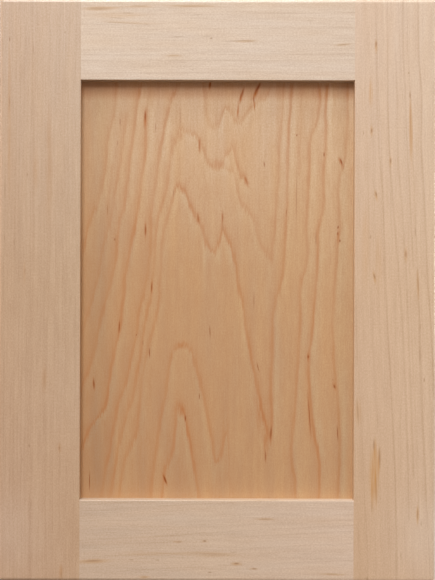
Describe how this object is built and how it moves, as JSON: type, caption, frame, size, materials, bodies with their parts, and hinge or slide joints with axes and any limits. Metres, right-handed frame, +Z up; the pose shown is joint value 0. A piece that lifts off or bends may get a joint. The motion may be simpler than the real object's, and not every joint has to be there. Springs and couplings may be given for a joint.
{
  "type": "kitchen cabinet door",
  "caption": "Framed wooden cabinet door: stiles and rails joined by stub tenons round a flat veneered panel, with the back of one stile bored for concealed cup hinges.",
  "frame": {"origin": "middle of the door's width and thickness, at its bottom edge", "axes": "+Z up the door's height, +Y from the face towards the back, +X to the right as seen from the front"},
  "size_m": [0.3048, 0.019, 0.4064],
  "materials": {
    "frame_maple": "satin clear coat",
    "panel_maple": "satin clear coat"
  },
  "bodies": {
    "root": {"left_stile": "frame_maple", "right_stile": "frame_maple", "top_rail": "frame_maple", "bottom_rail": "frame_maple", "centre_panel": "panel_maple"}
  },
  "joints": []
}
